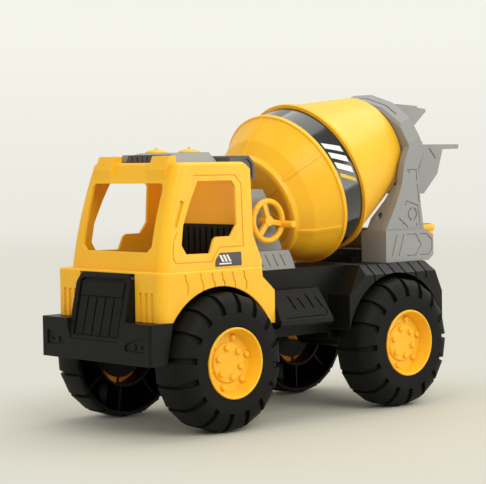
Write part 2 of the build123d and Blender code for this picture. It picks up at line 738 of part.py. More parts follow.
def make_roof_bracket():
    """Dark piece behind the roof panel that wraps the cab's rear top corner."""
    inside = [(78.8, ROOF_Z), (68.0, ROOF_Z), (60.3, 223.7), (60.3, 213)]
    outside = [(51, 213), (49.5, 215), (49.5, 228), (56, 235.2), (77, 235.2), (78.8, 234)]
    bracket = side_prism(inside + outside, -54, 54)
    pocket = [(57.6, 216), (52.2, 216), (52.2, 227), (56.8, 232.4), (64, 232.4), (57.6, 225.4)]
    return bracket - both_sides(side_prism(pocket, 52.6, 60))


def make_beacon(y):
    profile = [(0, 0), (9.8, 0), (9.8, 0.6), (7.8, 2.0), (4.2, 3.0), (1.6, 3.2), (1.3, 4.4), (0, 4.6)]
    return Pos(BEACON_X, y, ROOF_PANEL_TOP) * turned(profile)


# ---------------------------------------------------------------- gears
def involute(angle):
    return math.tan(angle) - angle


def bevel_outline(teeth, mate_teeth, height, phase):
    """Tooth outline of a straight bevel gear on the plane square to its axis at this
    height from the apex. Flanks are involutes on the back cone."""
    pitch = math.atan2(teeth, mate_teeth)
    cone = GEAR_MODULE * teeth / 2 / math.sin(pitch)
    virtual = cone * math.tan(pitch)
    pressure = math.radians(20.0)
    base = virtual * math.cos(pressure)
    root = virtual - 1.2 * GEAR_MODULE
    tip = virtual + 0.9 * GEAR_MODULE
    half_pitch = (math.pi * GEAR_MODULE / 2 - GEAR_BACKLASH) / 2 / virtual
    flank = []
    for step in range(5):
        radius = root + (tip - root) * step / 4
        swing = math.acos(min(1.0, base / radius))
        half = radius * (half_pitch + involute(pressure) - involute(swing))
        cone_angle = pitch + (radius - virtual) / cone
        flank.append((height * math.tan(cone_angle), half / (cone * math.sin(cone_angle))))
    points = []
    for index in range(teeth):
        centre = phase + index * 2 * math.pi / teeth
        for radius, half in flank:
            points.append((radius * math.cos(centre - half), radius * math.sin(centre - half)))
        for radius, half in reversed(flank):
            points.append((radius * math.cos(centre + half), radius * math.sin(centre + half)))
    return points


def bevel_gear(teeth, mate_teeth, phase, bore, back):
    """Straight bevel gear about local Z, apex at the origin, with a plain back of this depth."""
    pitch = math.atan2(teeth, mate_teeth)
    height = GEAR_MODULE * mate_teeth / 2
    cone = height / math.cos(pitch)
    inner = height * (cone - GEAR_FACE) / cone
    large = Plane.XY.offset(height) * outline(bevel_outline(teeth, mate_teeth, height, phase))
    small = Plane.XY.offset(inner) * outline(bevel_outline(teeth, mate_teeth, inner, phase))
    toothed = loft([small, large], ruled=True)
    root_angle = pitch - 1.2 * GEAR_MODULE / cone
    plate = disc(height * math.tan(root_angle), height, height + back)
    return toothed + plate - disc(bore, 0, height + back + 1)


GEAR_BACK = 2.6
PINION_BACK = 4.0


def make_drum_gear():
    """The gear has a tooth facing the pinion, which lies to its left."""
    gear = bevel_gear(GEAR_TEETH, PINION_TEETH, math.radians(90.0), SHAFT_RADIUS, GEAR_BACK)
    return drum_frame(CRANK_STATION) * gear


def make_pinion():
    """The pinion has a space facing the gear."""
    x, z = drum_point(CRANK_STATION)
    toward_gear = math.radians(180.0 + DRUM_TILT)
    phase = toward_gear + math.pi / PINION_TEETH
    pinion = bevel_gear(PINION_TEETH, GEAR_TEETH, phase, SHAFT_RADIUS, PINION_BACK)
    return left_frame(x, z) * pinion


# ---------------------------------------------------------------- gear housing and hand wheel
BUSH_OUTER = 4.5
CRANK_BUSH_LENGTH = 10.0


def housing_block(inset, bottom):
    """Stepped pedestal behind the cab, moved inward by inset."""
    i = inset
    rear = HOUSING_REAR - i

    def tier(half, low, high):
        side = [
            (sloped_x(rear, low), low),
            (sloped_x(rear, high - 7), high - 7),
            (sloped_x(rear, high - 7) + 4, high),
            (HOUSING_FRONT_X - i, high),
            (HOUSING_FRONT_X - i, low),
        ]
        return side_prism(side, -half, half)

    lower = tier(HOUSING_LOWER_HALF_WIDTH - i, bottom, HOUSING_STEP_Z - i)
    upper = tier(HOUSING_UPPER_HALF_WIDTH - i, bottom, HOUSING_TOP_Z - i)
    return lower + upper


def housing_shell():
    shell = housing_block(0.0, DECK_TOP) - housing_block(HOUSING_WALL, DECK_TOP - 1)
    for x, y in HOUSING_SCREW_XY:
        post = Pos(x, y, DECK_TOP) * disc(4.5, 0, HOUSING_STEP_Z - DECK_TOP - 1)
        shell = shell + (post & housing_block(0.5, DECK_TOP))
    x, z = drum_point(CRANK_STATION)
    boss_end = HOUSING_UPPER_HALF_WIDTH + 1.0
    boss = left_frame(x, z) * disc(BUSH_OUTER + 2, boss_end - CRANK_BUSH_LENGTH, boss_end)
    shell = shell + boss
    shell = shell - left_frame(x, z) * disc(BUSH_OUTER, 0, 60)
    shell = shell - drum_frame(HOUSING_REAR) * disc(BUSH_OUTER, -HOUSING_WALL - 2, 4)
    for index in range(4):
        top_x = 42.0 - index * 9.0
        line = [(top_x, 147), (top_x - 7, 136)]
        face = Plane.XZ.offset(-HOUSING_LOWER_HALF_WIDTH - 1) * stroke(line, 1.0)
        shell = shell - both_sides(extrude(face, amount=1.8))
    return cut_screws(shell, housing_screws)


def make_housing_half(side):
    """side is +1 for the left half and -1 for the right half."""
    half_space = box(-60, 80, 0, 60, 120, 220) if side > 0 else box(-60, 80, -60, 0, 120, 220)
    return housing_shell() & half_space


def make_crank_bush():
    x, z = drum_point(CRANK_STATION)
    start = HOUSING_UPPER_HALF_WIDTH + 1.0 - CRANK_BUSH_LENGTH
    sleeve = bush(BUSH_OUTER, SHAFT_RADIUS + RUNNING_FIT, CRANK_BUSH_LENGTH)
    return left_frame(x, z) * Pos(0, 0, start) * sleeve


def make_drum_bush():
    sleeve = bush(BUSH_OUTER, SHAFT_RADIUS + RUNNING_FIT, HOUSING_WALL, 6.5)
    return drum_frame(HOUSING_REAR - HOUSING_WALL) * sleeve


def make_crank_shaft():
    x, z = drum_point(CRANK_STATION)
    start = GEAR_MODULE * GEAR_TEETH / 2 - GEAR_FACE
    return left_frame(x, z) * disc(SHAFT_RADIUS, start, HAND_WHEEL_Y)


def make_hand_wheel():
    """Three-spoke wheel on the end of the crank shaft, with a handle at its rear spoke."""
    x, z = drum_point(CRANK_STATION)
    wheel = Torus(HAND_WHEEL_RADIUS, HAND_WHEEL_TUBE)
    hub = disc(4.6, -HAND_WHEEL_Y + HOUSING_UPPER_HALF_WIDTH + 2.0, 2.4)
    wheel = wheel + hub
    for index in range(3):
        angle = -(HAND_WHEEL_FIRST_SPOKE + index * 120.0)
        spoke = Pos(HAND_WHEEL_RADIUS / 2, 0, 0.4) * Box(HAND_WHEEL_RADIUS, 4.6, 3.4)
        wheel = wheel + Rot(0, 0, angle) * spoke
    handle = disc(HANDLE_RADIUS, 0, HANDLE_LENGTH)
    handle = fillet(handle.edges().group_by(Axis.Z)[-1], 1.2)
    rear_spoke = Rot(0, 0, -(HAND_WHEEL_FIRST_SPOKE + 120.0))
    wheel = wheel + rear_spoke * Pos(HAND_WHEEL_RADIUS, 0, 0) * handle
    wheel = wheel - disc(SHAFT_RADIUS, -HAND_WHEEL_Y, 0)
    return left_frame(x, z) * Pos(0, 0, HAND_WHEEL_Y) * wheel


# ---------------------------------------------------------------- drum
def drum_front_outer():
    return [
        (0, DRUM_FRONT + 3.0),
        (BOSS_RING_RADIUS - 4.0, DRUM_FRONT + 3.0),
        (BOSS_RING_RADIUS - 3.2, DRUM_FRONT - 0.6),
        (BOSS_RING_RADIUS - 1.6, DRUM_FRONT - 1.4),
        (BOSS_RING_RADIUS + 1.6, DRUM_FRONT - 1.4),
        (BOSS_RING_RADIUS + 3.4, DRUM_FRONT - 0.6),
        (BOSS_RING_RADIUS + 4.4, DRUM_FRONT + 4.4),
        (KNEE_RADIUS, DRUM_KNEE),
        (DRUM_RADIUS, -2.4),
        (DRUM_FLANGE_RADIUS, -2.0),
        (DRUM_FLANGE_RADIUS, 1.6),
        (DRUM_RADIUS - 1.2, 2.0),
        (DRUM_RADIUS - 1.2, DRUM_REAR_FLANGE / 2),
    ]


def make_drum_front():
    outer = drum_front_outer()
    inner = [
        (DRUM_RADIUS - 1.2 - DRUM_WALL, DRUM_REAR_FLANGE / 2),
        (DRUM_RADIUS - 1.2 - DRUM_WALL, -1.0),
        (KNEE_RADIUS - 1.2, DRUM_KNEE + DRUM_WALL),
        (47.0, DRUM_FRONT + 3.0 + DRUM_WALL),
        (0, DRUM_FRONT + 3.0 + DRUM_WALL),
    ]
    shell = turned(outer + inner)
    boss = disc(8.0, DRUM_FRONT + 1.5, DRUM_FRONT + 16)
    shell = shell + boss
    rib = side_rib(BOSS_RING_RADIUS + 2.0, DRUM_FRONT + 2.4, KNEE_RADIUS, DRUM_KNEE, 1.4)
    rib = rib + side_rib(KNEE_RADIUS - 0.4, DRUM_KNEE - 0.2, DRUM_RADIUS - 0.5, -2.8, 1.2)
    for index in range(RIB_COUNT):
        shell = shell + Rot(0, 0, index * 360.0 / RIB_COUNT) * rib
    for index in range(RIB_COUNT):
        spoke = box(7.0, 42.0, -2.2, 2.2, DRUM_FRONT + 1.6, DRUM_FRONT + 4.0)
        shell = shell + Rot(0, 0, index * 360.0 / RIB_COUNT) * spoke
    shell = shell - disc(SHAFT_RADIUS, DRUM_FRONT - 4, DRUM_FRONT + 12)
    return drum_frame() * shell


def side_rib(r0, s0, r1, s1, proud):
    """Radial rib along a cone from (r0, s0) to (r1, s1), standing proud of it."""
    length = math.hypot(r1 - r0, s1 - s0)
    nx = (s1 - s0) / length
    ns = -(r1 - r0) / length
    points = [
        (r0 + nx * proud, s0 + ns * proud),
        (r1 + nx * proud, s1 + ns * proud),
        (r1 - nx * 1.0, s1 - ns * 1.0),
        (r0 - nx * 1.0, s0 - ns * 1.0),
    ]
    face = Plane.XZ * outline(points)
    return extrude(face, amount=RIB_WIDTH / 2, both=True)


def drum_cone_radius(station):
    start = DRUM_REAR_FLANGE + 1.8
    slope = (DRUM_RADIUS - DRUM_MOUTH_RADIUS) / (DRUM_MOUTH - start)
    return DRUM_RADIUS - slope * (station - start)


def make_drum_rear():
    joint = DRUM_REAR_FLANGE / 2
    inside = DRUM_RADIUS - 1.2 - DRUM_WALL
    profile = [
        (inside, joint),
        (DRUM_RADIUS - 1.2, joint),
        (DRUM_RADIUS - 1.2, DRUM_REAR_FLANGE - 2.0),
        (DRUM_FLANGE_RADIUS, DRUM_REAR_FLANGE - 1.6),
        (DRUM_FLANGE_RADIUS, DRUM_REAR_FLANGE + 1.4),
        (DRUM_RADIUS, DRUM_REAR_FLANGE + 1.8),
        (DRUM_MOUTH_RADIUS, DRUM_MOUTH - 1.0),
        (DRUM_MOUTH_RADIUS - 1.0, DRUM_MOUTH),
        (NECK_RADIUS, DRUM_MOUTH),
        (NECK_RADIUS, ARCH_END - 3.0),
        (NECK_RADIUS - DRUM_WALL, ARCH_END - 3.0),
        (NECK_RADIUS - DRUM_WALL, DRUM_MOUTH - DRUM_WALL),
        (DRUM_MOUTH_RADIUS - DRUM_WALL - 1.0, DRUM_MOUTH - DRUM_WALL),
        (inside, DRUM_REAR_FLANGE + 1.0),
    ]
    return drum_frame() * turned(profile)


def make_drum_band():
    inner = DRUM_RADIUS - 1.2
    return drum_frame() * ring(inner + 0.4, inner, 2.4, DRUM_REAR_FLANGE - 2.4)


def make_drum_shaft():
    start = CRANK_STATION + GEAR_MODULE * PINION_TEETH / 2 - 1.5
    return drum_frame() * disc(SHAFT_RADIUS, start, DRUM_FRONT + 12)


def drum_clearance(gap):
    """Space swept by the rear half of the drum, with a gap all round."""
    profile = [
        (0, 10.0),
        (DRUM_FLANGE_RADIUS + gap, 10.0),
        (DRUM_FLANGE_RADIUS + gap, DRUM_REAR_FLANGE + 2.0),
        (DRUM_MOUTH_RADIUS + gap, DRUM_MOUTH),
        (DRUM_MOUTH_RADIUS + gap, ARCH_START),
        (0, ARCH_START),
    ]
    return drum_frame() * turned(profile)


# ---------------------------------------------------------------- rear support
# panel lines on the base and the pillars, as (x, z)
BASE_LINES = [
    [(-117.0, 138.5), (-124.0, 158.5)],
    [(-126.5, 138.5), (-133.5, 158.5)],
    [(-138.0, 158.5), (-150.0, 158.5), (-157.5, 148.5), (-150.0, 138.5), (-138.0, 138.5)],
    [(-156.0, 158.5), (-164.5, 158.5), (-173.0, 152.5), (-173.0, 143.5), (-167.5, 138.5), (-156.0, 138.5)],
]
PILLAR_LINES = [
    [(-145.5, 216.5), (-143.0, 219.5), (-155.0, 219.5), (-155.4, 209.5)],
    [(-156.0, 206.0), (-158.8, 188.5)],
    [(-139.5, 186.0), (-141.0, 190.0), (-156.8, 185.5), (-160.0, 166.0)],
    [(-130.0, 174.5), (-143.0, 165.0)],
    [(-135.0, 167.5), (-136.5, 169.5)],
    [(-155.0, 166.0), (-155.0, 169.0)],
]
PILLAR_RING = (-149.0, 177.6, 5.6)   # x, z and radius of the broken ring on each pillar
PILLAR_SIDE = [
    (-112.0, BASE_TOP_Z), (-125.8, 186.0), (-135.0, 206.0), (-138.5, 226.0), (-146.0, 243.0),
    (-163.5, 247.0), (-166.5, 238.0), (-157.6, 221.0), (-160.8, 189.0), (-165.0, BASE_TOP_Z),
]


def make_rear_base():
    """Hollow block under the arch, notched at the front, with panel lines on its sides."""
    side = [
        (BASE_FRONT_X, DECK_TOP), (BASE_FRONT_X, BASE_TOP_Z), (BASE_REAR_X + 14, BASE_TOP_Z),
        (BASE_REAR_X, BASE_TOP_Z - 8), (BASE_REAR_X, DECK_TOP + 7), (BASE_REAR_X + 10, DECK_TOP),
    ]
    plan = [
        (BASE_FRONT_X, -BASE_HALF_WIDTH), (BASE_FRONT_X, BASE_HALF_WIDTH),
        (BASE_REAR_X + 3, BASE_HALF_WIDTH), (BASE_REAR_X, BASE_HALF_WIDTH - 3),
        (BASE_REAR_X, -BASE_HALF_WIDTH + 3), (BASE_REAR_X + 3, -BASE_HALF_WIDTH),
    ]
    block = side_prism(side, -BASE_HALF_WIDTH, BASE_HALF_WIDTH) & plan_prism(plan, DECK_TOP, BASE_TOP_Z)
    w = HOUSING_WALL
    inner = BASE_HALF_WIDTH - w
    core = box(BASE_FRONT_X - w, BASE_REAR_X + 14, -inner, inner, DECK_TOP - 1, BASE_TOP_Z - w)
    notch = box(BASE_NOTCH_BACK, 0, -BASE_NOTCH_HALF, BASE_NOTCH_HALF, DECK_TOP - 1, BASE_TOP_Z + 1)
    lining = box(BASE_NOTCH_BACK - w, 0, -BASE_NOTCH_HALF - w, BASE_NOTCH_HALF + w, DECK_TOP - 1, BASE_TOP_Z)
    block = block - (core - drum_clearance(2.0 + w) - lining) - notch
    for line in BASE_LINES:
        shape = extrude(Plane.XZ.offset(-BASE_HALF_WIDTH - 1) * stroke(line, 0.9), amount=1.9)
        block = block - both_sides(shape)
    for x, y in BASE_SCREW_XY:
        block = block + Pos(x, y, DECK_TOP) * disc(4.5, 0, BASE_TOP_Z - DECK_TOP - 1)
    return cut_screws(block - drum_clearance(2.0), base_screws)


def broken_ring():
    """Ring groove split into two arcs, left and right."""
    x, z, radius = PILLAR_RING
    face = Circle(radius + 0.9) - Circle(radius - 0.9) - Rectangle(3.0, 3 * radius)
    return extrude(Plane.XZ.offset(-PILLAR_OUTER_Y - 1) * Pos(x, z) * face, amount=1.9)


def make_rear_arch():
    """Two pillars that carry a faceted collar around the drum's neck."""
    outer = [
        (44.5, 12.0), (36.0, 36.0), (20.0, 53.5), (0.0, PILLAR_OUTER_Y), (-16.0, PILLAR_OUTER_Y),
        (-40.0, 43.0), (-50.0, 20.0),
    ]
    full = outer + [(x, -y) for x, y in reversed(outer)]
    collar = extrude(outline(full), amount=ARCH_END - ARCH_START)
    rim = collar.faces().sort_by(Axis.Z)[0].edges()
    front_rim = [e for e in rim if e.center().X > 10]
    collar = chamfer(front_rim, 2.6)
    collar = collar - disc(NECK_RADIUS + RUNNING_FIT, -1, 30)
    # a slit splits the collar's upper facets into a front band and a rear body
    slit = extrude(stroke([(44.5, 4.0), (44.5, 12.0), (36.0, 36.0), (27.0, 45.8)], 3.4), amount=1.3)
    collar = collar - Pos(0, 0, 7.5) * both_sides(slit)
    collar = drum_frame(ARCH_START) * collar
    inner_y = PILLAR_OUTER_Y - PILLAR_THICKNESS
    pillars = both_sides(side_prism(PILLAR_SIDE, inner_y, PILLAR_OUTER_Y))
    pillars = pillars - drum_frame(ARCH_START) * disc(NECK_RADIUS + 1, 0, 20)
    web = [(-113.0, BASE_TOP_Z), (-136.5, 205.0), (-144.5, 205.0), (-121.0, BASE_TOP_Z)]
    webs = both_sides(side_prism(web, 33, inner_y))
    arch = collar + (pillars + webs - drum_clearance(1.5))
    for line in PILLAR_LINES:
        shape = extrude(Plane.XZ.offset(-PILLAR_OUTER_Y - 1) * stroke(line, 0.9), amount=1.9)
        arch = arch - both_sides(shape)
    arch = arch - both_sides(broken_ring())
    # blind holes in the front of the two inner webs
    hole = Plane.YZ.offset(-125) * Pos(43.0, 176.0) * Circle(3.4)
    return arch - both_sides(extrude(hole, amount=40))


def make_feed_hopper():
    """Upper hopper on the back of the collar, open at the top."""
    root = 284.0
    low = 262.0
    outer = side_prism(
        [
            (sloped_x(ARCH_END, root), root), (-192, 281.6), (-193.5, 279.8), (-204.5, 278.8),
            (-205, 275.8), (-202, 274.2), (-187.5, low), (sloped_x(ARCH_END, low), low),
        ],
        -27, 27,
    )
    core = side_prism(
        [
            (sloped_x(ARCH_END, root) - 3, root + 1), (-190, root + 1), (-196, 277.5),
            (-186, low + 2.5), (sloped_x(ARCH_END, low) - 3, low + 2.5),
        ],
        -24, 24,
    )
    return outer - core


def make_discharge_hopper():
    """Lower hopper under the drum's mouth, with a spout flange at the rear."""
    top = 243.8
    bottom = 196.0
    outer = side_prism(
        [
            (sloped_x(ARCH_END, top), top), (-242, top), (-241.4, 239.4), (-218, 239),
            (-210, 215), (-190, bottom), (sloped_x(ARCH_END, bottom), bottom),
        ],
        -37, 37,
    )
    core = side_prism(
        [
            (sloped_x(ARCH_END, top) - 3, top + 1), (-216, top + 1), (-207.6, 216),
            (-190, bottom + 3.6), (sloped_x(ARCH_END, bottom) - 3, bottom + 3.6),
        ],
        -34, 34,
    )
    neck = drum_frame(ARCH_END) * disc(NECK_RADIUS + 1, -1, 1.0)
    outlet = Pos(-199, 0, 205) * Cylinder(6, 40)
    crease = extrude(Plane.XZ.offset(-38) * stroke([(-198.0, 240.5), (-207.5, 230.0)], 1.2), amount=1.9)
    return outer - both_sides(crease) - core - neck - outlet


# ---------------------------------------------------------------- discharge chute
BRACKET_TOP_Z = 146.0
BRACKET_THICKNESS = 4.0


def make_chute_bracket():
    x, y = CHUTE_PIVOT
    arm = box(x, BASE_REAR_X, -12, 12, BRACKET_TOP_Z - BRACKET_THICKNESS, BRACKET_TOP_Z)
    plate = box(BASE_REAR_X - WALL, BASE_REAR_X, -18, 18, 136, 158)
    eye = Pos(x, y, 0) * disc(12, BRACKET_TOP_Z - BRACKET_THICKNESS, BRACKET_TOP_Z)
    bracket = arm + plate + eye
    return bracket - Pos(x, y, 0) * disc(CHUTE_PIN_RADIUS, 130, 150)


def make_chute():
    """Open trough with a round head, at rest pointing to the right."""
    x, y = CHUTE_PIVOT
    floor_z = BRACKET_TOP_Z + 0.3
    head = disc(CHUTE_HEAD_RADIUS - 2.0, floor_z, CHUTE_TOP_Z)
    head = fillet(head.edges().group_by(Axis.Z)[0], 8.0)
    rim = Pos(0, 0, CHUTE_TOP_Z - CHUTE_RIM) * Torus(CHUTE_HEAD_RADIUS - CHUTE_RIM, CHUTE_RIM)
    head_core = disc(CHUTE_HEAD_RADIUS - CHUTE_RIM, floor_z + CHUTE_WALL, CHUTE_TOP_Z + 1)
    head_core = fillet(head_core.edges().group_by(Axis.Z)[0], 6.0)
    width = 15.0
    trough = box(-width, width, -CHUTE_LENGTH, 0, floor_z, TROUGH_TOP_Z)
    low = trough.edges().filter_by(Axis.Y).group_by(Axis.Z)[0]
    trough = fillet(low, 8.0)
    inside = width - CHUTE_WALL
    core = box(-inside, inside, -CHUTE_LENGTH - 1, 0, floor_z + CHUTE_WALL, CHUTE_TOP_Z + 1)
    core = fillet(core.edges().filter_by(Axis.Y).group_by(Axis.Z)[0], 6.0)
    chute = head + rim + trough - head_core - core
    chute = chute + disc(6.0, floor_z, floor_z + 5)
    chute = chute - disc(CHUTE_PIN_RADIUS + RUNNING_FIT, 140, 170)
    return Pos(x, y, 0) * chute


def make_chute_pin():
    x, y = CHUTE_PIVOT
    shank = disc(CHUTE_PIN_RADIUS, BRACKET_TOP_Z - BRACKET_THICKNESS, BRACKET_TOP_Z + 5.6)
    head = disc(4.5, BRACKET_TOP_Z + 5.6, BRACKET_TOP_Z + 7.4)
    return Pos(x, y, 0) * (shank + head)


# ---------------------------------------------------------------- write every piece
def save(name, shape):
    export_step(shape, f"parts/{name}.step")


def group(shapes):
    return Compound(children=list(shapes))


os.makedirs("parts", exist_ok=True)

save("chassis", make_chassis())
save("front_bumper", make_bumper())
save("grille", make_grille())
save("cab_shell", make_cab())
save("cab_seat", make_cab_seat())
save("door_labels", group(make_door_labels()))
save("roof_panel", make_roof_panel())
save("roof_vent", make_roof_vent())
save("roof_bracket", make_roof_bracket())
save("beacons", group([make_beacon(BEACON_Y), make_beacon(-BEACON_Y)]))
save("axle_bushes", group(axle_bushes()))

save("gear_housing_left", make_housing_half(1))
save("gear_housing_right", make_housing_half(-1))
save("crank_bush", make_crank_bush())
save("drum_front_bush", make_drum_bush())
save("rear_base", make_rear_base())
save("rear_arch", make_rear_arch())
save("feed_hopper", make_feed_hopper())
save("discharge_hopper", make_discharge_hopper())
save("chute_bracket", make_chute_bracket())
save("housing_screws", group(housing_screws))
save("base_screws", group(base_screws))
save("cab_screws", group(cab_screws))

tyre = make_tyre()
hub = make_hub()
for end, x in (("front", AXLE_X), ("rear", -AXLE_X)):
    save(f"{end}_axle", make_axle(x))
    for side, frame in (("left", left_frame(x, AXLE_Z)), ("right", right_frame(x, AXLE_Z))):
        save(f"tyre_{end}_{side}", frame * tyre)
        save(f"hub_{end}_{side}", frame * hub)

save("drum_front_shell", make_drum_front())
save("drum_rear_shell", make_drum_rear())
save("drum_band", make_drum_band())
save("drum_shaft", make_drum_shaft())
save("drum_gear", make_drum_gear())

save("hand_wheel", make_hand_wheel())
save("crank_shaft", make_crank_shaft())
save("crank_pinion", make_pinion())

save("chute", make_chute())
save("chute_pin", make_chute_pin())
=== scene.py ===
import json
import math

import bmesh
import bpy
from mathutils import Matrix, Vector


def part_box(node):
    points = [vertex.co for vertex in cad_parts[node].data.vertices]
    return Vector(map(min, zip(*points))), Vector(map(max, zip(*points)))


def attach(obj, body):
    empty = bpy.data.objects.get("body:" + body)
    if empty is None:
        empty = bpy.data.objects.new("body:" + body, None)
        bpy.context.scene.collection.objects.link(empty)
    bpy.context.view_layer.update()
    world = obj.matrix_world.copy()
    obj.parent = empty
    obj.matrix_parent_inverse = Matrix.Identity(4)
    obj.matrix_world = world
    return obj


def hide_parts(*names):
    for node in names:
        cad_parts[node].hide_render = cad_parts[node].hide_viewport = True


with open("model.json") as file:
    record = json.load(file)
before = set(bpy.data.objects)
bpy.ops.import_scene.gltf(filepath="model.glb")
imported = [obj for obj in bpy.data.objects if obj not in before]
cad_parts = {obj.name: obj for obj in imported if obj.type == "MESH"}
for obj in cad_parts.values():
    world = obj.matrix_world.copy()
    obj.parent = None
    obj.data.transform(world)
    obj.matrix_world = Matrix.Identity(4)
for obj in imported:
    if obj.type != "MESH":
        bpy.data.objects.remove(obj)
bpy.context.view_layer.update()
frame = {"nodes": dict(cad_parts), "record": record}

MM = 0.001


# ---------------------------------------------------------------- node helpers
MIX_FACTOR, MIX_FIRST, MIX_SECOND = 0, 6, 7     # input sockets of a mix node for colours
MIX_RESULT = 2
BEVEL_SAMPLES = 4
EDGE_BEND = 0.80                    # cosine of the bend that counts as a full edge


def new_material(name):
    material = bpy.data.materials.new(name)
    material.use_nodes = True
    tree = material.node_tree
    tree.nodes.clear()
    output = tree.nodes.new("ShaderNodeOutputMaterial")
    shader = tree.nodes.new("ShaderNodeBsdfPrincipled")
    tree.links.new(shader.outputs["BSDF"], output.inputs["Surface"])
    return material, tree, shader


def node(tree, kind, inputs=None, **settings):
    made = tree.nodes.new(kind)
    for key, value in settings.items():
        setattr(made, key, value)
    for key, value in (inputs or {}).items():
        if isinstance(value, bpy.types.NodeSocket):
            tree.links.new(value, made.inputs[key])
        else:
            made.inputs[key].default_value = value
    return made


def noise(tree, scale, detail, roughness, vector=None):
    coordinates = vector or node(tree, "ShaderNodeTexCoord").outputs["Object"]
    return node(
        tree, "ShaderNodeTexNoise",
        {"Vector": coordinates, "Scale": scale, "Detail": detail, "Roughness": roughness},
    ).outputs["Fac"]


def remap(tree, value, low, high, to_low, to_high):
    return node(
        tree, "ShaderNodeMapRange",
        {"Value": value, "From Min": low, "From Max": high, "To Min": to_low, "To Max": to_high},
    ).outputs["Result"]


def multiply(tree, a, b):
    return node(tree, "ShaderNodeMath", {0: a, 1: b}, operation="MULTIPLY").outputs[0]


def mix_colour(tree, factor, a, b):
    inputs = {MIX_FACTOR: factor, MIX_FIRST: a, MIX_SECOND: b}
    return node(tree, "ShaderNodeMix", inputs, data_type="RGBA").outputs[MIX_RESULT]


def edge_mask(tree, radius):
    """1 on sharp edges, fading to 0 over radius, with the rounded normal."""
    bevel = node(tree, "ShaderNodeBevel", {"Radius": radius}, samples=BEVEL_SAMPLES)
    geometry = node(tree, "ShaderNodeNewGeometry")
    dot = node(
        tree, "ShaderNodeVectorMath",
        {0: bevel.outputs["Normal"], 1: geometry.outputs["Normal"]}, operation="DOT_PRODUCT",
    ).outputs["Value"]
    return remap(tree, dot, 1.0, EDGE_BEND, 0.0, 1.0), bevel.outputs["Normal"]


def scaled(colour, factor):
    return (colour[0] * factor, colour[1] * factor, colour[2] * factor, 1.0)


# ---------------------------------------------------------------- materials
# noises, as scale, detail and roughness
DRIFT_NOISE = (14.0, 2.0, 0.5)
FLOW_NOISE = (60.0, 4.0, 0.55)
GRAIN_NOISE = (900.0, 3.0, 0.6)
# the part of a noise that is spread over the whole effect
DRIFT_RANGE = (0.35, 0.65)
SCUFF_AND_HIGHLIGHT_RANGE = (0.40, 0.70)
FLOW_RANGE = (0.3, 0.7)
DARKEST = 0.96                      # range of the colour drift, as a share of the colour
LIGHTEST = 1.03
SMOOTHER = 0.05                     # how far the flow marks vary the roughness
ROUGHER = 0.07
WEAR_AND_HIGHLIGHT_WHITE = 0.4                    # share of white in a scuffed edge, which is also a painted edge highlight
GRAIN_DEPTH = 0.02                  # mm
GRAIN_STRENGTH = 0.25
PLASTIC_IOR = 1.49
COAT_ROUGHNESS = 0.10
GLOW_DEPTH = 4.0                    # how far red light travels inside the yellow plastic, mm
GLOW_REACH = (1.0, 0.35, 0.05)      # reach of red, green and blue light, as shares of that depth
PAINTED_GLOW_COLOUR = (1.0, 0.26, 0.03, 1.0)   # painted glow: orange emission that lightens the plastic's shade, as if light came through its thin walls
PAINTED_GLOW_STRENGTH = 0.055


def plastic(name, colour, roughness, gloss=0.5, edge_wear_and_highlight=0.10, glow=0.0, coat=0.0, rounding=0.5):
    """Moulded plastic: slight colour drift, fine texture, rounded edges that are lightly scuffed and
    paler as a painted highlight, and with glow a painted orange glow.
    """
    material, tree, shader = new_material(name)
    drift = noise(tree, *DRIFT_NOISE)
    fine = noise(tree, *GRAIN_NOISE)
    flow = noise(tree, *FLOW_NOISE)
    edges, rounded = edge_mask(tree, rounding * MM)
    drift = remap(tree, drift, *DRIFT_RANGE, 0.0, 1.0)
    base = mix_colour(tree, drift, scaled(colour, DARKEST), scaled(colour, LIGHTEST))
    # paler edges: partly scuffed wear, partly a painted highlight
    wear_and_highlight = multiply(tree, edges, remap(tree, flow, *SCUFF_AND_HIGHLIGHT_RANGE, 0.0, edge_wear_and_highlight))
    pale_wear_and_highlight = tuple(part * (1 - WEAR_AND_HIGHLIGHT_WHITE) + WEAR_AND_HIGHLIGHT_WHITE for part in colour[:3]) + (1.0,)
    base = mix_colour(tree, wear_and_highlight, base, pale_wear_and_highlight)
    tree.links.new(base, shader.inputs["Base Color"])
    rough = remap(tree, flow, *FLOW_RANGE, roughness - SMOOTHER, roughness + ROUGHER)
    tree.links.new(rough, shader.inputs["Roughness"])
    bump = node(
        tree, "ShaderNodeBump",
        {"Strength": GRAIN_STRENGTH, "Distance": GRAIN_DEPTH * MM, "Height": fine, "Normal": rounded},
    )
    tree.links.new(bump.outputs["Normal"], shader.inputs["Normal"])
    shader.inputs["IOR"].default_value = PLASTIC_IOR
    shader.inputs["Specular IOR Level"].default_value = gloss
    shader.inputs["Coat Weight"].default_value = coat
    shader.inputs["Coat Roughness"].default_value = COAT_ROUGHNESS
    if glow:
        shader.inputs["Subsurface Weight"].default_value = glow
        shader.inputs["Subsurface Radius"].default_value = GLOW_REACH
        shader.inputs["Subsurface Scale"].default_value = GLOW_DEPTH * MM
        # painted glow: the plastic emits a little orange light of its own, which warms its shade
        shader.inputs["Emission Color"].default_value = PAINTED_GLOW_COLOUR
        shader.inputs["Emission Strength"].default_value = PAINTED_GLOW_STRENGTH
    return material


YELLOW = (0.86, 0.475, 0.018, 1.0)
BLACK = (0.0070, 0.0069, 0.0058, 1.0)
RUBBER = (0.0062, 0.0063, 0.0055, 1.0)
GREY = (0.272, 0.274, 0.262, 1.0)
DARK_GREY = (0.070, 0.068, 0.068, 1.0)
WHITE = (0.80, 0.79, 0.74, 1.0)
LABEL = (0.030, 0.027, 0.026, 1.0)
BAND = (0.010, 0.010, 0.009, 1.0)
STEEL = (0.515, 0.515, 0.527, 1.0)

